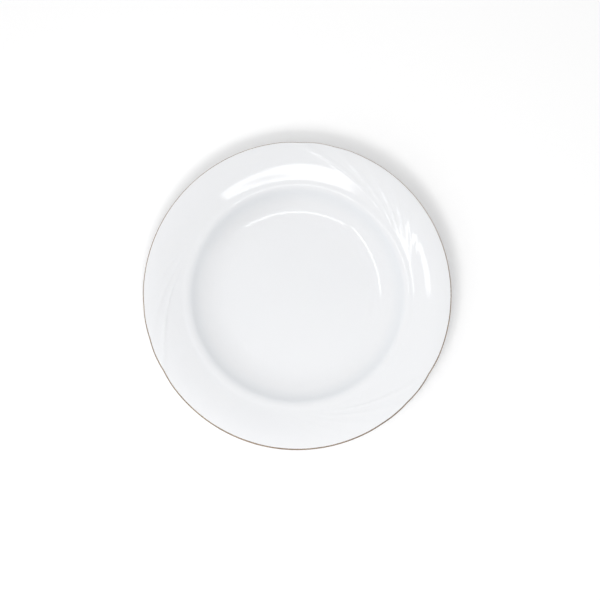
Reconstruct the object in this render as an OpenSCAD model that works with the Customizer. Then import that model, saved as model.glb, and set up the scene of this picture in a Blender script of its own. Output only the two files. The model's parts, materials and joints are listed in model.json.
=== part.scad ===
// China dinner plate: a porcelain body with a flat well, a round cove and a broad
// rim pressed with three fans of swirling ribs, coated with glaze on the front
// and the back and finished with a thin gold line round the edge.
// The origin is the centre of the plane that the foot ring rests on.

/* [Plate] */
// Diameter across the glazed edge
plate_d = 260; // [230:1:290]
// Height of the highest rib above the table
plate_h = 26.9; // [26:0.1:28.4]
// Thickness of the wall at the cove
wall_t = 4; // [3.6:0.1:4.4]
// Thickness of the edge
edge_t = 3; // [2.8:0.1:3.4]

/* [Well] */
// Height of the well floor above the table
well_z = 6.5; // [6:0.1:7]
// Steepest slope of the cove wall
cove_slope = 40; // [37:1:42]

/* [Ribs] */
// Number of fans of ribs round the rim
fans = 3; // [2:1:3]
// Height of the first rib of a fan
rib_h = 0.3; // [0.2:0.02:0.5]
// Depth of the notch that the edge has at the first rib of a fan
notch_depth = 0.67; // [0:0.01:0.8]
// Angle that the first rib sweeps through in the outer part of the rim
sweep_first = 23.3; // [15:0.1:26]
// Angle that the last rib sweeps through in the outer part of the rim
sweep_last = 8.6; // [6:0.1:12]

/* [Foot] */
// Diameter of the middle of the foot ring
foot_d = 142; // [138:1:146]
// Width of the bare band that the plate rests on
foot_band = 2.8; // [2:0.1:3.4]

/* [Finish] */
// Thickness of the glaze
glaze_t = 0.25; // [0.2:0.05:0.3]
// Thickness of the gold line
gold_t = 0.06; // [0.05:0.01:0.1]
// Radius of the rounded edge, which the gold line covers
nose_r = 1.2; // [0.9:0.1:1.3]

/* [Hidden] */

plate_r = plate_d / 2;

// Front of the plate, from the axis outwards: the flat well, a concave cove, a
// convex lip, a gentle shelf that turns up on a short curve, and the rim.
well_share = 0.4685;
wall_share = 0.683;
lip_bend_share = 0.11;
rise_share = 0.023;
knee_share = 0.8377;
shelf_slope = 8.3;
well_r = well_share * plate_r;
wall_r = wall_share * plate_r;
cove_bend = (wall_r - well_r) / sin(cove_slope);
wall_z = well_z + cove_bend * (1 - cos(cove_slope));
lip_bend = lip_bend_share * plate_r;
lip_r = wall_r + lip_bend * (sin(cove_slope) - sin(shelf_slope));
lip_z = wall_z + lip_bend * (cos(shelf_slope) - cos(cove_slope));
rise_run = rise_share * plate_r;
rise_r = lip_r + rise_run;

// The rim keeps its slope to the knee, flattens more and more, and is level where
// the rounded edge starts. Its slope is the one that brings it to the edge's height.
knee_r = knee_share * plate_r;
rim_end = plate_r - nose_r;
outer_run = rim_end - knee_r;
rim_fall = 1.5;
edge_z = plate_h - rib_h;
rim_slope = (edge_z - lip_z - tan(shelf_slope) * rise_run / 2)
    / (rise_run / 2 + knee_r - rise_r + outer_run * rim_fall / (rim_fall + 1));
rise_z = lip_z + rise_run * (tan(shelf_slope) + rim_slope) / 2;
knee_z = rise_z + rim_slope * (knee_r - rise_r);

// Edge: a rounded nose above and a smaller round below, with a short wall between
under_round_r = 0.9;
under_round_z = edge_z - edge_t + under_round_r;

// Foot ring
foot_r = foot_d / 2;
base_z = 2.6;
foot_flare = 1;
bare_h = 0.8;
belly_z = 4.4;
belly_bend = cove_bend + wall_t;
cove_centre = [well_r, well_z + cove_bend];
under_bend = lip_bend - wall_t;
belly_steps = 6;
bend_steps = 4;
edge_steps = 3;
clearance = 1;

// Ribs. Angles are measured in one fan, anticlockwise, at the edge. Each rib is
// nearer to the next one and lower than the one before it, clockwise.
fan_angle = 360 / fans;
rib_count = 7;
first_rib = 89.4;
rib_pitch = 13.5;
pitch_ratio = 0.894;
height_ratio = 0.635;
rib_width = 0.345;
notch_count = 3;
notch_width = 0.55;
notch_curve = 1.5;
sweep_run = 0.15 * plate_r;
sweep_bend = 0.45;

// The plain land between two fans swells a little, beside the lowest ribs
swell_h = 0.26;
swell_at = 17;
swell_width = 13.8;

// Mesh of the front: columns that run along the ribs, and rings round the plate
half_rib_columns = 2;
gap_columns = 9;

function clamp01(x) = min(max(x, 0), 1);
function ease(x) = let(t = clamp01(x)) t * t * (3 - 2 * t);
function mix(a, b, t) = a + (b - a) * t;

// Angle of rib k at the edge, and from it to the next one
function rib_at(k) = first_rib - rib_pitch * (1 - pow(pitch_ratio, k)) / (1 - pitch_ratio);
function rib_gap(k) = rib_pitch * pow(pitch_ratio, k);
gap_start = rib_at(0) + rib_width * rib_gap(0);
fan_end = rib_at(rib_count - 1) - rib_width * rib_gap(rib_count - 1);
gap_end = fan_end + fan_angle;

// Distance between two angles of a fan, as a share of width, and 1 past it
function apart(a, b, width) =
    let(turn = abs(a - b) % fan_angle) min(min(turn, fan_angle - turn) / width, 1);

// Height of the ribs, and depth of the edge's notches, at the angle phi of a fan, as
// shares of the first one's. The ribs are round, and the notches are cusps.
function sum(list, i = 0) = i < len(list) ? list[i] + sum(list, i + 1) : 0;
function rib_share(phi) = sum([
    for (k = [0:rib_count - 1])
        pow(height_ratio, k) * (1 + cos(180 * apart(phi, rib_at(k), rib_width * rib_gap(k)))) / 2
]);
function notch_share(phi) = sum([
    for (k = [0:notch_count - 1])
        (1 - k / notch_count) * pow(1 - apart(phi, rib_at(k), notch_width * rib_gap(k)), notch_curve)
]);
function swell_share(phi) =
    exp(-pow(fan_angle / 2 * apart(phi, swell_at, fan_angle / 2) / swell_width, 2) / 2);

// How far the column that leaves the edge at phi has turned back at the radius r
function sweep_angle(phi) = phi <= gap_start
    ? mix(sweep_last, sweep_first, (phi - fan_end) / (first_rib - fan_end))
    : mix(sweep_angle(gap_start), sweep_last, (phi - gap_start) / (gap_end - gap_start));
function sweep_share(r) = let(u = (plate_r - max(r, lip_r)) / sweep_run) mix(u, u * u, sweep_bend);

// The columns of one fan, anticlockwise from its lowest rib: across every rib from
// foot to foot, and then over the plain land
fan_columns = [
    for (k = [rib_count - 1:-1:0], j = [-half_rib_columns:half_rib_columns])
        rib_at(k) + rib_width * rib_gap(k) * j / half_rib_columns,
    for (j = [1:gap_columns]) mix(gap_start, gap_end, j / (gap_columns + 1))
];
fan_count = len(fan_columns);
column_count = fans * fan_count;
even_turn = 50;

// Angle round the plate of column i at radius r: along the ribs on the rim, and
// evenly spread in the well, where they are turned back by even_turn
function column_angle(i, r) = let(
    phi = fan_columns[i % fan_count],
    turn = floor(i / fan_count) * fan_angle,
    swept = phi - sweep_angle(phi) * sweep_share(r),
    even = fan_end + fan_angle * (i % fan_count) / fan_count - even_turn
) turn + mix(even, swept, ease((r - well_r) / (lip_r - well_r)));

// Slope (rise over run) and height of the finished front at radius r, without ribs
function rim_part(r) = clamp01((r - knee_r) / outer_run);
function front_slope(r) =
    r <= well_r ? 0 :
    r <= wall_r ? tan(asin((r - well_r) / cove_bend)) :
    r <= lip_r ? tan(asin(sin(cove_slope) - (r - wall_r) / lip_bend)) :
    r <= rise_r ? mix(tan(shelf_slope), rim_slope, (r - lip_r) / rise_run) :
    rim_slope * (1 - pow(rim_part(r), rim_fall));
function front_z(r) =
    r <= well_r ? well_z :
    r <= wall_r ? well_z + cove_bend * (1 - cos(asin((r - well_r) / cove_bend))) :
    r <= lip_r ? wall_z
        + lip_bend * (cos(asin(sin(cove_slope) - (r - wall_r) / lip_bend)) - cos(cove_slope)) :
    r <= rise_r ? lip_z + (r - lip_r) * (tan(shelf_slope) + front_slope(r)) / 2 :
    r <= knee_r ? rise_z + rim_slope * (r - rise_r) :
    knee_z + rim_slope * (r - knee_r) * (1 - pow(rim_part(r), rim_fall) / (rim_fall + 1));

// Radii of the rings of the front, from the edge of the well to the start of the nose
cove_steps = 5;
lip_steps = 3;
rise_steps = 3;
rim_steps = 5;
front_rings = [
    for (i = [0:cove_steps]) well_r + cove_bend * sin(cove_slope * i / cove_steps),
    for (i = [1:lip_steps]) let(a = mix(cove_slope, shelf_slope, i / lip_steps))
        wall_r + lip_bend * (sin(cove_slope) - sin(a)),
    rise_r,
    for (i = [1:rise_steps]) mix(rise_r, knee_r, i / rise_steps),
    for (i = [1:rim_steps]) mix(knee_r, rim_end, i / rim_steps)
];
nose_steps = 3;
front_count = len(front_rings);

// A point of column i of the front, in its section plane as [radius, height]. inset
// moves it in from the finished face, along the surface's own normal.
function front_point(i, r, inset) = let(
    phi = fan_columns[i % fan_count],
    slope = atan(front_slope(r)),
    notch = notch_depth * notch_share(phi) * pow(clamp01((r - rise_r) / (rim_end - rise_r)), 2),
    lift = (rib_h * rib_share(phi) + swell_h * swell_share(phi) * (1 - rib_share(phi)))
        * ease((r - rise_r) / (knee_r - rise_r))
) [r - notch + inset * sin(slope), front_z(r) + lift - inset * cos(slope)];

// Step j of the rounded nose of column i, from the front (0) to the wall (nose_steps)
function nose_point(i, j, inset) = let(
    centre = front_point(i, rim_end, nose_r),
    turn = 90 * j / nose_steps
) centre + (nose_r - inset) * [sin(turn), cos(turn)];

function section_point(i, j, inset) = j < front_count
    ? front_point(i, front_rings[j], inset)
    : nose_point(i, j - front_count + 1, inset);
function ring_angle(i, j) = column_angle(i, j < front_count ? front_rings[j] : plate_r);
function on_plate(section, angle) = [section[0] * cos(angle), section[0] * sin(angle), section[1]];

// The points of ring j of the front, all round the plate
function ring(j, inset) = [
    for (i = [0:column_count - 1]) on_plate(section_point(i, j, inset), ring_angle(i, j))
];
function at_height(points, z) = [for (p = points) [p[0], p[1], z]];

// Faces that join ring a to ring b, which are drawn anticlockwise, seen from above
// with b further out, and each quad is split along the sweep of the ribs.
function band(a, b) = [
    for (i = [0:column_count - 1])
    let(
        k = (i + 1) % column_count,
        inner = a * column_count,
        outer = b * column_count
    )
    each [[inner + i, inner + k, outer + i], [inner + k, outer + k, outer + i]]
];
function bands(first, last) = [for (j = [first:last - 1]) each band(j, j + 1)];
function cap(j) = [for (i = [0:column_count - 1]) j * column_count + i];
function reversed(list) = [for (i = [len(list) - 1:-1:0]) list[i]];

// A block whose top is the front of the plate and whose side is its edge
block_floor = -2;
ring_count = front_count + nose_steps;
module front_block(inset) {
    rings = [for (j = [0:ring_count - 1]) ring(j, inset)];
    points = [for (r = rings) each r, each at_height(rings[ring_count - 1], block_floor)];
    faces = [reversed(cap(0)), each bands(0, ring_count), cap(ring_count)];
    polyhedron(points, faces, convexity = 4);
}

// Everything under the plate: inside the foot ring, round its two sides, and below
// the belly, the wall and the rim. inset moves it in from the finished face.
turn_faces = 180;
function foot_side(z, side) = foot_r + side * (foot_band / 2 + foot_flare * z / base_z);
function across(a, b) = a[0] * b[1] - a[1] * b[0];
module under_space(inset) {
    coat = glaze_t - inset;
    foot_z = bare_h * coat / glaze_t;
    roof_z = base_z + inset;
    belly = belly_bend - inset;
    belly_start = asin((foot_side(belly_z, 1) - well_r) / belly_bend);
    under_slope = atan((edge_z - edge_t - lip_z + wall_t) / (plate_r - under_round_r - lip_r));
    edge_centre = [plate_r - under_round_r, under_round_z];
    edge_bend = under_round_r - inset;
    wall_end = cove_centre + belly * [sin(cove_slope), -cos(cove_slope)];
    rim_start = edge_centre + edge_bend * [sin(under_slope), -cos(under_slope)];
    wall_way = [cos(cove_slope), sin(cove_slope)];
    rim_way = [cos(under_slope), sin(under_slope)];
    corner = wall_end + wall_way * across(rim_start - wall_end, rim_way) / across(wall_way, rim_way);
    bend = under_bend + inset;
    bend_centre = corner - wall_way * bend * tan((cove_slope - under_slope) / 2)
        + bend * [sin(cove_slope), -cos(cove_slope)];
    rotate_extrude($fn = turn_faces) polygon([
        [0, roof_z],
        [foot_side(roof_z, -1) - coat, roof_z],
        [foot_side(foot_z, -1) - coat, foot_z],
        [foot_side(foot_z, 1) + coat, foot_z],
        for (i = [0:belly_steps]) let(a = mix(belly_start, cove_slope, i / belly_steps))
            cove_centre + belly * [sin(a), -cos(a)],
        for (i = [0:bend_steps]) let(a = mix(cove_slope, under_slope, i / bend_steps))
            bend_centre + bend * [-sin(a), cos(a)],
        for (i = [0:edge_steps]) let(a = mix(under_slope, 90, i / edge_steps))
            edge_centre + edge_bend * [sin(a), -cos(a)],
        [plate_r + clearance, under_round_z],
        [plate_r + clearance, block_floor - clearance],
        [0, block_floor - clearance]
    ]);
}

module plate_solid(inset) {
    difference() {
        front_block(inset);
        under_space(inset);
    }
}

// The pressed and fired porcelain, bare only where it rests on the table
module porcelain_body() {
    color("ghostwhite") plate_solid(glaze_t);
}

// The glaze over the front, round the edge and down the back to the foot ring
module glaze_coat() {
    color("white") difference() {
        plate_solid(0);
        plate_solid(glaze_t);
        translate([0, 0, block_floor]) cylinder(r = foot_r, h = base_z + 2 * glaze_t - block_floor);
    }
}

// The glaze inside the foot ring
module glaze_base() {
    roof_z = base_z + glaze_t;
    color("white") rotate_extrude($fn = turn_faces) polygon([
        [0, base_z],
        [foot_side(base_z, -1) - glaze_t, base_z],
        [foot_side(bare_h, -1) - glaze_t, bare_h],
        [foot_side(bare_h, -1), bare_h],
        [foot_side(roof_z, -1), roof_z],
        [0, roof_z]
    ]);
}

// The gold line, over the glazed nose and down the wall of the edge
module gold_edge_line() {
    first = front_count - 1;
    inner = [for (j = [first:ring_count - 1]) ring(j, 0)];
    outer = [for (j = [first:ring_count - 1]) ring(j, -gold_t)];
    last = len(inner) - 1;
    sections = [
        each outer,
        at_height(outer[last], under_round_z),
        at_height(inner[last], under_round_z),
        each reversed(inner)
    ];
    count = len(sections);
    color("goldenrod") polyhedron(
        [for (s = sections) each s],
        [each bands(0, count - 1), each band(count - 1, 0)],
        convexity = 4
    );
}

porcelain_body();
glaze_coat();
glaze_base();
gold_edge_line();
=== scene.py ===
import json
import math

import bpy
import numpy as np
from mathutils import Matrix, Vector


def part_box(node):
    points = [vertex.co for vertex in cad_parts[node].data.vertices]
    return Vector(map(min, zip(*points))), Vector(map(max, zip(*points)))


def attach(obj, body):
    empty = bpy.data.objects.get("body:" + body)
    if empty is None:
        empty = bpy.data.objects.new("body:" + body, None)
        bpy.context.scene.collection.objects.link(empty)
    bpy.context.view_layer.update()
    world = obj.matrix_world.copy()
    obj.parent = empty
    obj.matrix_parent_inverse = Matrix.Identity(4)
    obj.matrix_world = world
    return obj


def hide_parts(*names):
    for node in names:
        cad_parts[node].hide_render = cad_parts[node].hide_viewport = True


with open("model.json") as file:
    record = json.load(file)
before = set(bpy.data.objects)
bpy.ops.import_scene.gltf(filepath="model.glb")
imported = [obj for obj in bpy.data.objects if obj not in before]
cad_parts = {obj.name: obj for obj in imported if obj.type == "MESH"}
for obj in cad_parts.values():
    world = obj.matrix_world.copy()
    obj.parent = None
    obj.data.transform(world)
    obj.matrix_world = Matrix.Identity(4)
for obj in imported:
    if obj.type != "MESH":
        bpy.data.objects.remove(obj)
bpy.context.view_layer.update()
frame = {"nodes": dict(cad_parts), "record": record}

MM = 0.001

# ------------------------------------------------------------------ sizes, from the frame
mounts = {mount["name"]: Vector(mount["pos_m"]) for mount in frame["record"]["mounts"]}
glaze_low, glaze_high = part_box("glaze_coat")
base_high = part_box("glaze_base")[1]
gold_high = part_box("gold_edge_line")[1]

plate_r = max(math.hypot(v.co.x, v.co.y) for v in frame["nodes"]["glaze_coat"].data.vertices)
plate_h = glaze_high.z
well_z = mounts["well_face"].z
foot_r = mounts["foot_ring_face"].x
bare_h = glaze_low.z
gold_t = gold_high.z - glaze_high.z

# Thicknesses, and the rounds above and below the edge
wall_t = 4 * MM
edge_t = 3 * MM
glaze_t = 0.25 * MM
nose_r = 1.2 * MM
under_round_r = 0.9 * MM

# The foot ring: the roof of the recess inside it, the height where the belly meets its outer
# side, the band that it rests on, how much each side flares up to the roof, and its rounds
base_z = base_high.z - glaze_t
belly_z = 4.4 * MM
foot_band = 2.8 * MM
foot_flare = 1 * MM
foot_fillet = 1.5 * MM
foot_round = 0.5 * MM

# ---------------------------------------------------------- the front's profile, from the axis
# A flat well, a concave cove, a convex lip, a gentle shelf that turns up on a short
# curve, and the rim, which keeps its slope to the knee and is level at the edge.
cove_slope = math.radians(40)
shelf_slope = math.radians(8.3)
well_r = 0.4685 * plate_r
wall_r = 0.683 * plate_r
cove_bend = (wall_r - well_r) / math.sin(cove_slope)
wall_z = well_z + cove_bend * (1 - math.cos(cove_slope))
lip_bend = 0.11 * plate_r
lip_r = wall_r + lip_bend * (math.sin(cove_slope) - math.sin(shelf_slope))
lip_z = wall_z + lip_bend * (math.cos(shelf_slope) - math.cos(cove_slope))
rise_run = 0.023 * plate_r
rise_r = lip_r + rise_run

rib_h = 0.3 * MM
knee_r = 0.8377 * plate_r
rim_end = plate_r - nose_r
outer_run = rim_end - knee_r
rim_fall = 1.5
edge_z = plate_h - rib_h
rim_slope = (edge_z - lip_z - math.tan(shelf_slope) * rise_run / 2) / (
    rise_run / 2 + knee_r - rise_r + outer_run * rim_fall / (rim_fall + 1))


def spaced(start, end, steps, first=0):
    """Evenly spaced values from start to end, leaving out the ones before first."""
    return np.linspace(start, end, steps + 1)[first:]


def front_slope(r):
    """Rise over run of the plain front at radius r."""
    cove = (r - well_r) / cove_bend
    lip = math.sin(cove_slope) - (r - wall_r) / lip_bend
    sine = np.clip(np.where(r <= wall_r, cove, lip), 0, math.sin(cove_slope))
    turn = np.interp(r, [lip_r, rise_r], [math.tan(shelf_slope), rim_slope])
    rim = rim_slope * (1 - np.clip((r - knee_r) / outer_run, 0, 1) ** rim_fall)
    return np.select([r <= lip_r, r <= rise_r], [sine / np.sqrt(1 - sine ** 2), turn], rim)


# The front's height at many radii: its slope, summed from the well outwards
profile_steps = 8000
profile_r = spaced(0, plate_r, profile_steps)
profile_slope = front_slope(profile_r)
profile_climb = (profile_slope[1:] + profile_slope[:-1]) / 2 * np.diff(profile_r)
profile_z = well_z + np.concatenate([[0], np.cumsum(profile_climb)])


def front_z(r):
    """Height of the plain front at radius r."""
    return np.interp(r, profile_r, profile_z)


# ------------------------------------------------------------------------------- ribs
# Three fans of ribs sweep round the rim. Angles are in degrees, in one fan, anticlockwise, at
# the edge. Each rib is nearer to the next one and lower than the one before it. rib_width and
# notch_width are half a width, as a share of the gap to the next rib.
fans = 3
fan_angle = 360 / fans
rib_count = 7
first_rib = 89.4
rib_pitch = 13.5
pitch_ratio = 0.894
height_ratio = 0.635
rib_width = 0.345

# The edge is notched at the highest ribs
notch_depth = 0.67 * MM
notch_count = 3
notch_width = 0.55
notch_curve = 1.5

# Turn of the first and the last rib over the outer stretch of the rim, sweep_run
sweep_first = 23.3
sweep_last = 8.6
sweep_run = 0.15 * plate_r
sweep_bend = 0.45

# Swell of the plain land between two fans
swell_h = 0.26 * MM
swell_at = 17
swell_width = 13.8


def ease(x):
    """A smooth step from 0 to 1."""
    t = np.clip(x, 0, 1)
    return t * t * (3 - 2 * t)


def rib_at(k):
    """Angle of rib k at the edge."""
    return first_rib - rib_pitch * (1 - pitch_ratio ** k) / (1 - pitch_ratio)


def rib_gap(k):
    """Angle from rib k to the next one."""
    return rib_pitch * pitch_ratio ** k


def apart(a, b, width):
    """Distance between two angles of a fan, as a share of width, and 1 past it."""
    turn = np.abs(a - b) % fan_angle
    return np.minimum(np.minimum(turn, fan_angle - turn) / width, 1)


def rib_share(phi):
    """Height of the round ribs at the angle phi of a fan, as a share of the first one's."""
    offsets = [apart(phi, rib_at(k), rib_width * rib_gap(k)) for k in range(rib_count)]
    return sum(height_ratio ** k * (1 + np.cos(np.pi * off)) / 2 for k, off in enumerate(offsets))


def notch_share(phi):
    """How far the edge is drawn in at the angle phi of a fan: a cusp at each of the high ribs."""
    offsets = [apart(phi, rib_at(k), notch_width * rib_gap(k)) for k in range(notch_count)]
    return sum((1 - k / notch_count) * (1 - off) ** notch_curve for k, off in enumerate(offsets))


def swell_share(phi):
    """The land between two fans swells a little, beside the lowest ribs."""
    half_fan = fan_angle / 2
    return np.exp(-(half_fan * apart(phi, swell_at, half_fan) / swell_width) ** 2 / 2)


gap_start = rib_at(0) + rib_width * rib_gap(0)
fan_end = rib_at(rib_count - 1) - rib_width * rib_gap(rib_count - 1)
gap_end = fan_end + fan_angle


def sweep_angle(phi):
    """How far the column that leaves the edge at phi turns back in the outer part of the rim."""
    growth = (sweep_first - sweep_last) / (first_rib - fan_end)
    highest = sweep_last + growth * (gap_start - fan_end)
    return np.interp(phi, [fan_end, gap_start, gap_end], [sweep_last, highest, sweep_last])


def sweep_share(r):
    """Share of that turn at radius r: none at the edge, and more and more inwards."""
    u = (plate_r - max(r, lip_r)) / sweep_run
    return u + (u * u - u) * sweep_bend


def fan_columns():
    """Angles of one fan's columns at the edge, close together across every rib."""
    across = spaced(-1, 1, 10) * rib_width
    valley = spaced(rib_width, 1 - rib_width, 3, 1)[:-1]
    ribs = [rib_at(k) + rib_gap(k) * across for k in range(rib_count)]
    valleys = [rib_at(k) - rib_gap(k) * valley for k in range(rib_count - 1)]
    gap = spaced(gap_start, gap_end, 40, 1)[:-1]
    return np.sort(np.concatenate([*ribs, *valleys, gap]))


# Every column of the plate: its angle in its fan, the fan's turn, and the evenly spaced angle
# that it has in the well, turned back about as far as the columns sweep across the rim
fan = fan_columns()
fan_count = len(fan)
column_count = fans * fan_count
even_turn = 50
column_phi = np.tile(fan, fans)
column_turn = np.repeat(np.arange(fans) * fan_angle, fan_count)
column_even = np.tile(fan_end + fan_angle * np.arange(fan_count) / fan_count - even_turn, fans)
column_rib = rib_share(column_phi)
column_notch = notch_share(column_phi)
column_lift = rib_h * column_rib + swell_h * swell_share(column_phi) * (1 - column_rib)


def column_angle(r):
    """Angles of the columns at radius r, in radians: along the ribs on the rim, even in the well."""
    swept = column_phi - sweep_angle(column_phi) * sweep_share(r)
    share = ease((r - well_r) / (lip_r - well_r))
    return np.radians(column_turn + column_even + (swept - column_even) * share)


# ---------------------------------------------------------------------- the plate's skin
def front_rings(detail):
    """Radii of the front's rings, closer where the profile or the ribs turn."""
    stretches = [(0, well_r, 12), (well_r, wall_r, 20), (wall_r, lip_r, 12),
                 (lip_r, knee_r, 26), (knee_r, rim_end, 20)]
    return np.concatenate([spaced(start, end, round(steps * detail), 1)
                           for start, end, steps in stretches])


def edge_share(r):
    """How much of the edge's notches and ribs is left at radius r."""
    return np.clip((r - rise_r) / (rim_end - rise_r), 0, 1) ** 2


def front_point(r, inset):
    """Radii and heights of the front's columns at radius r, moved in by inset."""
    slope = math.atan(front_slope(np.float64(r)))
    lift = column_lift * ease((r - rise_r) / (knee_r - rise_r))
    radius = r - notch_depth * column_notch * edge_share(r) + inset * math.sin(slope)
    return radius, front_z(r) + lift - inset * math.cos(slope)


def nose_point(turn, inset):
    """Radii and heights of the rounded edge's columns, where it has turned by turn radians."""
    radius, height = front_point(rim_end, nose_r)
    bend = nose_r - inset
    return radius + bend * np.sin(turn), height + bend * np.cos(turn)


def foot_side(z, side):
    """Radius of the foot ring's bare side at height z: side is 1 outside and -1 inside."""
    return foot_r + side * (foot_band / 2 + foot_flare * z / base_z)


def outwards(slope):
    """The way outwards along a line with that slope."""
    return Vector((math.cos(slope), math.sin(slope)))


def below(slope):
    """The way out from the back where it has that slope."""
    return Vector((math.sin(slope), -math.cos(slope)))


def arc(centre, bend, start, end, steps):
    """Points where a round back with that centre and radius has slopes from start to end."""
    return [centre + bend * below(slope) for slope in spaced(start, end, steps)]


def bent(start, corner, end, steps):
    """A curve from start to end that turns at corner."""
    return [start.lerp(corner, t).lerp(corner.lerp(end, t), t) for t in spaced(0, 1, steps)]


cove_centre = Vector((well_r, well_z + cove_bend))
edge_centre = Vector((plate_r - under_round_r, edge_z - edge_t + under_round_r))
under_slope = math.atan((edge_z - edge_t - lip_z + wall_t) / (edge_centre.x - lip_r))


def under_rim(inset, detail):
    """Points (radius, height) of the back, moved in by inset, from the edge's lower round along
    the straight back of the rim to the end of the bend that leads down the cove."""
    edge = arc(edge_centre, under_round_r - inset, math.pi / 2, under_slope, round(8 * detail))
    wall = cove_centre + (cove_bend + wall_t - inset) * below(cove_slope)
    wall_way = outwards(cove_slope)
    rim_way = outwards(under_slope)
    corner = wall + wall_way * (edge[-1] - wall).cross(rim_way) / wall_way.cross(rim_way)
    bend = lip_bend - wall_t + inset
    bend_run = bend * math.tan((cove_slope - under_slope) / 2)
    bend_centre = corner - wall_way * bend_run + bend * below(cove_slope)
    turn = arc(bend_centre, -bend, under_slope, cove_slope, round(10 * detail))
    rim = [edge[-1].lerp(turn[0], t) for t in spaced(0, 1, round(8 * detail), 1)[:-1]]
    return [*edge, *rim, *turn]


def under_cove(inset, detail):
    """Points of the back, moved in by inset, down the round cove and a fillet to the foot ring."""
    coat = glaze_t - inset
    belly = cove_bend + wall_t - inset
    side_r = foot_side(belly_z, 1) + coat
    side_z = belly_z - foot_fillet
    corner = cove_centre + belly * below(math.asin((side_r - well_r) / belly))
    cove_end = math.asin((side_r + foot_fillet - well_r) / belly)
    cove = arc(cove_centre, belly, cove_slope, cove_end, round(12 * detail))
    side = Vector((foot_side(side_z, 1) + coat, side_z))
    return [*cove, *bent(cove[-1], corner, side, round(8 * detail))[1:]]


def flat_ring(r, z):
    """A plain ring at radius r and height z."""
    return np.full(column_count, r), np.full(column_count, z), column_angle(r)


def skin(inset, detail):
    """Rings (radii, heights, angles) from the centre of the front round the edge to the foot."""
    front = [(*front_point(r, inset), column_angle(r)) for r in front_rings(detail)]
    nose = [(*nose_point(turn, inset), column_angle(plate_r))
            for turn in spaced(0, math.pi / 2, round(9 * detail), 1)]
    under = []
    for r, z in [*under_rim(inset, detail), *under_cove(inset, detail)]:
        share = edge_share(r)
        radius = r - notch_depth * column_notch * share
        under.append((radius, z + column_lift * share, column_angle(r)))
    return [*front, *nose, *under]


def ring_points(ring):
    """The ring's points as x, y and z."""
    radius, height, angle = ring
    return np.stack([radius * np.cos(angle), radius * np.sin(angle), height], axis=1)


def new_object(name, points, faces):
    """A mesh object in the scene."""
    mesh = bpy.data.meshes.new(name)
    mesh.from_pydata(points, [], faces)
    mesh.validate()
    made = bpy.data.objects.new(name, mesh)
    bpy.context.scene.collection.objects.link(made)
    return made


def lathe(name, rings, start=None, end=None, closed=False):
    """A smooth mesh through the rings, in order. start and end are the heights of the points on
    the axis that close it, or closed joins the last ring to the first."""
    count = len(rings[0][0])
    points = np.concatenate([ring_points(ring) for ring in rings])
    faces = []
    pairs = [(i, i + 1) for i in range(len(rings) - 1)]
    if closed:
        pairs.append((len(rings) - 1, 0))
    for a, b in pairs:
        for i in range(count):
            j = (i + 1) % count
            faces.append((a * count + i, b * count + i, b * count + j, a * count + j))
    for height, ring, out in ((start, 0, 1), (end, len(rings) - 1, -1)):
        if height is None:
            continue
        centre = len(points)
        points = np.vstack([points, [0, 0, height]])
        for i in range(count):
            pair = (ring * count + i, ring * count + (i + 1) % count)
            faces.append((centre, *pair[::out]))
    piece = new_object(name, points.tolist(), faces)
    piece.data.shade_smooth()
    return piece


# --------------------------------------------------------------------------- materials
class Recipe:
    """A material or a world being put together: its nodes, its shader and ways to join them."""

    def __init__(self, name, kind="materials", shader="Principled BSDF", place="Object"):
        self.made = getattr(bpy.data, kind).new(name)
        self.made.use_nodes = True
        self.tree = self.made.node_tree
        self.shader = self.tree.nodes[shader]
        self.place = self.add("TexCoord").outputs[place]

    def add(self, kind, inputs=None, **settings):
        """A new node with its settings, and its inputs set to values or joined to outputs."""
        node = self.tree.nodes.new("ShaderNode" + kind)
        for key, value in settings.items():
            setattr(node, key, value)
        self.fill(node, inputs or {})
        return node

    def fill(self, node, inputs):
        """Sets a node's inputs to values, or joins them to outputs."""
        for key, value in inputs.items():
            if isinstance(value, bpy.types.NodeSocket):
                self.tree.links.new(value, node.inputs[key])
            else:
                node.inputs[key].default_value = value

    def shade(self, **inputs):
        """Sets or joins the shader's inputs; an underscore stands for a space."""
        self.fill(self.shader, {key.replace("_", " "): value for key, value in inputs.items()})

    def noise(self, scale, detail):
        """A cloudy value around a half. scale is about how many clouds fit in a metre."""
        inputs = {"Vector": self.place, "Scale": scale, "Detail": detail}
        return self.add("TexNoise", inputs).outputs["Fac"]

    def spread(self, value, low, high, to_low=0, to_high=1):
        """value brought from low..high to to_low..to_high, and held there."""
        inputs = {0: value, 1: low, 2: high, 3: to_low, 4: to_high}
        return self.add("MapRange", inputs).outputs[0]

    def patches(self, scale, detail, low, high):
        """Noise that is 0 below low and 1 above high."""
        return self.spread(self.noise(scale, detail), low, high)

    def plus(self, a, b):
        return self.add("Math", {0: a, 1: b}, operation="ADD").outputs[0]

    def times(self, a, b):
        return self.add("Math", {0: a, 1: b}, operation="MULTIPLY").outputs[0]

    def blend(self, share, first, second):
        """The colour that lies share of the way from first to second, each a tuple or an output."""
        first, second = [(*colour, 1) if isinstance(colour, tuple) else colour
                         for colour in (first, second)]
        return self.add("MixRGB", {"Fac": share, "Color1": first, "Color2": second}).outputs[0]

    def bump(self, height, depth, under=None):
        """A relief that is depth high where height is 1, over the relief under."""
        inputs = {"Height": height, "Distance": depth, "Strength": 1.0}
        if under:
            inputs["Normal"] = under
        return self.add("Bump", inputs).outputs[0]

    def along(self, way):
        """How far the place lies along a direction."""
        inputs = {0: self.place, 1: way}
        return self.add("VectorMath", inputs, operation="DOT_PRODUCT").outputs["Value"]

    def radius(self):
        """Distance from the plate's axis."""
        flat = self.add("VectorMath", {0: self.place, 1: (1, 1, 0)}, operation="MULTIPLY")
        return self.add("VectorMath", {0: flat.outputs[0]}, operation="LENGTH").outputs["Value"]


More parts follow.
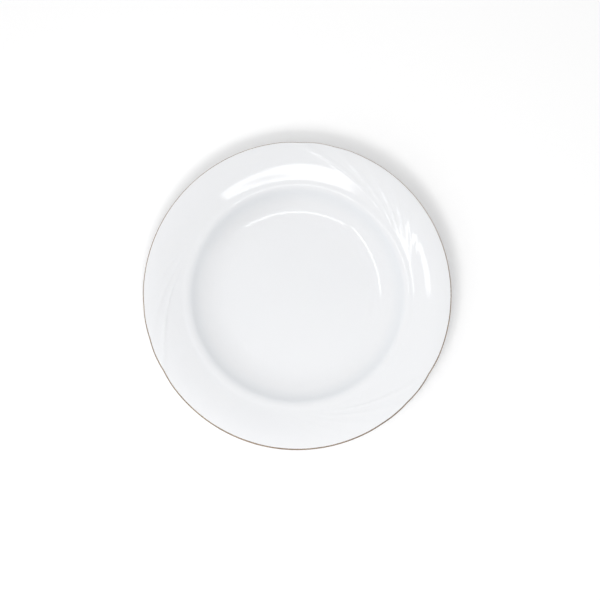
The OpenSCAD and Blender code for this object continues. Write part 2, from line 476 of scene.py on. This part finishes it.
def porcelain_tint(recipe, radius, speck):
    """Cool white, faintly cloudy, with brownish specks, and greyer in a ring round the steepest part
    of the cove wall, where glaze gathers and where painted shade deepens the dark ring.
    """
    cool_white = (0.800, 0.806, 0.821)
    pale_white = (0.811, 0.816, 0.829)
    pooled_and_shaded_white = (0.774, 0.789, 0.810)
    speck_brown = (0.45, 0.40, 0.34)
    # A greyer ring round the steepest part of the cove wall: partly glaze gathered there, partly
    # painted shade that darkens the ring
    pooled_glaze_and_shade = recipe.times(recipe.spread(radius, 0.9 * wall_r, 0.98 * wall_r),
                            recipe.spread(radius, 1.01 * wall_r, 1.05 * wall_r, 1, 0))
    cloud = recipe.patches(scale=9, detail=4, low=0.35, high=0.65)
    tint = recipe.blend(cloud, cool_white, pale_white)
    tint = recipe.blend(pooled_glaze_and_shade, tint, pooled_and_shaded_white)
    return recipe.blend(recipe.times(speck, 0.35), tint, speck_brown)


def cutlery_marks(recipe, radius):
    """Hairlines in patches of the well, as a value from 0 to 1."""
    inputs = {"Vector": recipe.place, "Scale": 520, "Distortion": 9, "Detail": 3, "Detail Scale": 0.35}
    waves = recipe.add("TexWave", inputs, bands_direction="DIAGONAL")
    hairlines = recipe.spread(waves.outputs["Fac"], 0.985, 1.0)
    used = recipe.times(recipe.spread(radius, 0.75 * well_r, well_r, 1, 0),
                        recipe.patches(scale=30, detail=2, low=0.5, high=0.62))
    return recipe.times(hairlines, used)


def glazed_porcelain():
    """Glossy clear glaze on white porcelain, with orange peel, a few tiny pits and cutlery marks."""
    peel_depth = 0.004 * MM
    pit_depth = 0.02 * MM
    mark_roughness = 0.25
    light_depth = 1.5 * MM
    recipe = Recipe("glazed_porcelain")
    radius = recipe.radius()
    cells = recipe.add("TexVoronoi", {"Vector": recipe.place, "Scale": 62}, feature="F1")
    speck = recipe.times(recipe.spread(cells.outputs["Distance"], 0.006, 0.012, 1, 0),
                         recipe.patches(scale=23, detail=1, low=0.66, high=0.67))
    peel = recipe.bump(recipe.noise(scale=330, detail=1), peel_depth)
    gloss = recipe.spread(recipe.noise(scale=14, detail=3), 0.3, 0.7, 0.045, 0.07)
    marks = recipe.times(cutlery_marks(recipe, radius), mark_roughness)
    recipe.shade(Base_Color=porcelain_tint(recipe, radius, speck), Roughness=recipe.plus(gloss, marks),
                 Normal=recipe.bump(speck, -pit_depth, peel), IOR=1.5)
    recipe.shade(Subsurface_Weight=0.12, Subsurface_Radius=(1.0, 0.92, 0.85),
                 Subsurface_Scale=light_depth)
    return recipe.made


def bisque():
    """Bare fired porcelain: matte, fine grained, and greyed where it rubs on tables."""
    dark_grain = (0.76, 0.745, 0.715)
    light_grain = (0.83, 0.82, 0.795)
    rubbed_grey = (0.42, 0.40, 0.37)
    rubbed_h = 0.35 * MM
    grain_depth = 0.03 * MM
    recipe = Recipe("bisque_porcelain")
    height = recipe.add("SeparateXYZ", {0: recipe.place}).outputs["Z"]
    grain = recipe.noise(scale=2600, detail=4)
    rubbed = recipe.times(recipe.spread(height, 0, rubbed_h, 1, 0),
                          recipe.patches(scale=70, detail=4, low=0.4, high=0.62))
    tint = recipe.blend(recipe.spread(grain, 0.3, 0.7), dark_grain, light_grain)
    tint = recipe.blend(recipe.times(rubbed, 0.55), tint, rubbed_grey)
    recipe.shade(Base_Color=tint, Roughness=recipe.spread(grain, 0.3, 0.7, 0.62, 0.82),
                 Normal=recipe.bump(grain, grain_depth), IOR=1.5)
    return recipe.made


def fired_gold():
    """Brushed-on fired gold: dull, uneven in tone, and thin enough in spots to look pale."""
    deep_gold = (0.31, 0.235, 0.175)
    light_gold = (0.40, 0.315, 0.24)
    worn_gold = (0.50, 0.46, 0.42)
    brush_depth = 0.006 * MM
    recipe = Recipe("fired_gold")
    fine = recipe.noise(scale=900, detail=3)
    wear = recipe.plus(recipe.noise(scale=120, detail=5), recipe.times(fine, 0.15))
    worn = recipe.spread(wear, 0.78, 0.88)
    tone = recipe.patches(scale=45, detail=4, low=0.35, high=0.65)
    tint = recipe.blend(worn, recipe.blend(tone, deep_gold, light_gold), worn_gold)
    recipe.shade(Base_Color=tint, Roughness=recipe.spread(fine, 0.3, 0.7, 0.20, 0.34),
                 Metallic=recipe.spread(worn, 0, 1, 1.0, 0.6), Normal=recipe.bump(fine, brush_depth))
    return recipe.made


# ------------------------------------------------------------------------------ pieces
def glaze_coat():
    """The glaze over the front, round the edge and down the back, thinner where it ends on the
    foot ring: the outer skin, then the inner one."""
    end_share = 0.3
    outer = [*skin(inset=0, detail=1),
             flat_ring(foot_side(bare_h + glaze_t, 1) + glaze_t, bare_h + glaze_t),
             flat_ring(foot_side(bare_h, 1) + glaze_t * end_share, bare_h)]
    inner = [*skin(inset=glaze_t, detail=0.4), flat_ring(foot_side(bare_h, 1), bare_h)]
    return lathe("dinner_plate_glaze", [*outer, *reversed(inner)], well_z, well_z - glaze_t)


def base_rings(inset):
    """Rings of the recess inside the foot ring, from near its centre to where the glaze stops."""
    steps = 8
    coat = glaze_t - inset
    roof = base_z + inset
    corner = Vector((foot_side(roof, -1) - coat, roof))
    side = Vector((foot_side(roof - foot_fillet, -1) - coat, roof - foot_fillet))
    fillet = bent(corner - Vector((foot_fillet, 0)), corner, side, steps)
    return [*[flat_ring(r, roof) for r in spaced(0, fillet[0].x, steps, 1)],
            *[flat_ring(*point) for point in fillet[1:]],
            flat_ring(foot_side(bare_h, -1) - coat, bare_h)]


def glaze_base():
    """The glaze inside the foot ring: the skin next to the porcelain, then the outer one."""
    rings = [*base_rings(inset=glaze_t), *reversed(base_rings(inset=0))]
    return lathe("base_glaze", rings, base_z + glaze_t, base_z)


def foot_rings():
    """Rings round the bare band that the plate rests on, from outside to inside."""
    flat_half = foot_band / 2 - foot_round
    rounded = [(flat_half + foot_round * math.sin(turn), foot_round * (1 - math.cos(turn)))
               for turn in spaced(math.pi / 2, 0, 4)]
    outside = [flat_ring(foot_r + run, z) for run, z in rounded]
    inside = [flat_ring(foot_r - run, z) for run, z in reversed(rounded)]
    return [*outside, *inside]


def porcelain_body():
    """The porcelain under the glaze, bare on the resting band of the foot ring."""
    rings = [*skin(inset=glaze_t, detail=0.5), flat_ring(foot_side(bare_h, 1), bare_h),
             *foot_rings(), *reversed(base_rings(inset=glaze_t))]
    return lathe("fired_porcelain", rings, well_z - glaze_t, base_z + glaze_t)


def gold_rings(start, inset):
    """Rings of the gold line, from its inner border over the rounded edge and down. start is how
    far past the top of the round the border lies, and it is negative on the flat before it."""
    angles = column_angle(plate_r)
    first_turn = np.maximum(start, 0) / nose_r
    rings = []
    for share in spaced(0, 1, 10):
        turn = first_turn + (math.pi / 2 - first_turn) * share
        radius, height = nose_point(turn, inset)
        rings.append((radius + np.minimum(start, 0) * (share == 0), height, angles))
    low = np.full(column_count, edge_z - edge_t + under_round_r)
    return [*rings, (rings[-1][0], low, angles)]


def gold_edge():
    """The gold line round the edge. Its inner border sways a little, as a brush does, and the
    line sits off centre, so from above it is broadest at the front."""
    border = 0.45 * MM
    off_centre = 0.5 * MM
    broad_side = math.radians(268)
    sway_depth = 0.06 * MM
    sway_waves = (7, 17, 31)
    sunk = 0.02 * MM
    angles = column_angle(plate_r)
    sway = sway_depth * sum(np.sin(n * angles + n * n) for n in sway_waves) / len(sway_waves)
    start = sway + border - off_centre * np.cos(angles - broad_side)
    rings = [*gold_rings(start, -gold_t), *reversed(gold_rings(start, sunk))]
    return lathe("gold_line", rings, closed=True)


def add_piece(piece, material, node):
    """Gives a piece its material, hangs it under the root body, and hides the CAD node that it stands
    in for.
    """
    piece.data.materials.append(material)
    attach(piece, "root")
    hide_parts(node)


glaze = glazed_porcelain()
add_piece(glaze_coat(), glaze, "glaze_coat")
add_piece(glaze_base(), glaze, "glaze_base")
add_piece(porcelain_body(), bisque(), "porcelain_body")
add_piece(gold_edge(), fired_gold(), "gold_edge_line")


# ------------------------------------------------------------------------------- stage
def plain_floor():
    """A wide plain floor at the height of the foot ring's band."""
    half = 12.0
    corners = [(-half, -half, 0), (half, -half, 0), (half, half, 0), (-half, half, 0)]
    recipe = Recipe("floor_white")
    recipe.shade(Base_Color=(0.98, 0.98, 0.98, 1), Roughness=0.6, Specular_IOR_Level=0.2)
    floor = new_object("floor", corners, [(0, 1, 2, 3)])
    floor.data.materials.append(recipe.made)
    return floor


def add_light(name, place, size, facing, power):
    """A soft light. size is its width and height, and power is for each square metre."""
    light = bpy.data.lights.new(name, "AREA")
    light.shape = "RECTANGLE"
    light.size, light.size_y = size
    light.energy = power * light.size * light.size_y
    lamp = bpy.data.objects.new(name, light)
    lamp.location = place
    lamp.rotation_euler = Vector(facing).to_track_quat("-Z", "Y").to_euler()
    bpy.context.scene.collection.objects.link(lamp)
    return lamp


def studio_world():
    """A broad soft light overhead, in a room that is darker towards the back right and has a dark
    doorway at the front right."""
    overhead = 0.925
    dark_wall = 0.30
    light_wall = 1.0
    dark_doorway = 0.25
    wall_top = 0.22
    recipe = Recipe("studio", "worlds", "Background", "Generated")
    up = recipe.along((0, 0, 1))
    front_left = recipe.along((-0.7, -0.7, 0))
    doorway = recipe.along(Vector((0.45, -0.7, 0.5)).normalized())
    wall = recipe.spread(front_left, -0.5, 0.5, dark_wall, light_wall)
    overhead_start = recipe.spread(front_left, -0.6, 0.3, 0.52, 0.35)
    room = recipe.spread(up, wall_top, overhead_start, wall, overhead)
    light = recipe.times(room, recipe.spread(doorway, 0.86, 0.96, 1, dark_doorway))
    recipe.shade(Color=(1, 1, 1, 1), Strength=light)
    return recipe.made


plain_floor()

# Two wide panels high above, in front of the plate and to its left
panel_d = 4.0
panel_power = 13
add_light("front_panel", panel_d * Vector((0.04, -1, 2.1575)), (1.4 * panel_d, 0.405 * panel_d),
          (0, 1, 0), panel_power)
add_light("left_panel", panel_d * Vector((-1, -0.626, 2.28)), (1.218 * panel_d, 0.36 * panel_d),
          (1, 0, 0), panel_power)

# A small lamp near the plate, from which the light falls off a little over the plate. Its own
# reflection is left out.
lamp_power = 28
near_lamp = add_light("near_lamp", (-0.09, -0.23, 0.6), (0.2, 0.2), (0, 0, -1), lamp_power)
near_lamp.visible_glossy = False

scene = bpy.context.scene
scene.world = studio_world()
scene.view_settings.view_transform = "Standard"

# -------------------------------------------------------------------------------- camera
# Straight above, a little off the plate's centre. view_width is how much the picture's width
# covers at the height of the edge.
view_width = 505 * MM
camera_place = Vector((2.4 * MM, -3.5 * MM, 1.2))
camera_data = bpy.data.cameras.new("camera")
camera_data.sensor_width = 36
camera_data.lens = camera_data.sensor_width * (camera_place.z - plate_h) / view_width
camera = bpy.data.objects.new("camera", camera_data)
camera.location = camera_place
scene.collection.objects.link(camera)
scene.camera = camera

bpy.context.view_layer.update()
